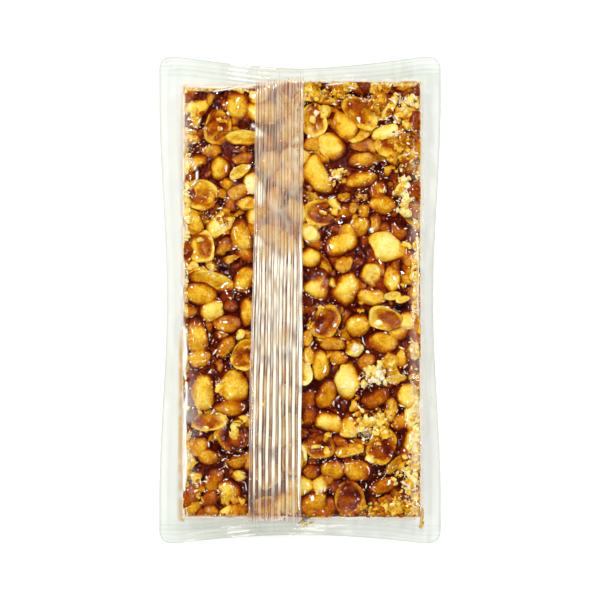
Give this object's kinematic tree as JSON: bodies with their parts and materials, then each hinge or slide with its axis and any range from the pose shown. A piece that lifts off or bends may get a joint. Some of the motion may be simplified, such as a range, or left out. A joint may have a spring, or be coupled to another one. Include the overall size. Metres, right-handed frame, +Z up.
{
  "type": "peanut brittle",
  "caption": "Rectangular slab of roasted peanuts in dark caramel, sealed in a clear film pack with a ribbed fin seal on top and crimped ends, lying flat.",
  "frame": {"origin": "middle of the flat underside of the lying pack", "axes": "+X across the pack, +Y along its length, +Z up, out of the side with the fin seal"},
  "size_m": [0.09, 0.1554, 0.0108],
  "materials": {
    "film_over_brittle": "clear glossy film over dark caramel and golden kernels",
    "clear_film": "clear glossy polypropylene film, heat sealed and crimped",
    "caramel": "glossy dark brown boiled sugar",
    "peanut": "golden roasted peanut, glazed where the caramel wets it"
  },
  "bodies": {
    "root": {"sealed_pack": "film_over_brittle"}
  },
  "joints": []
}
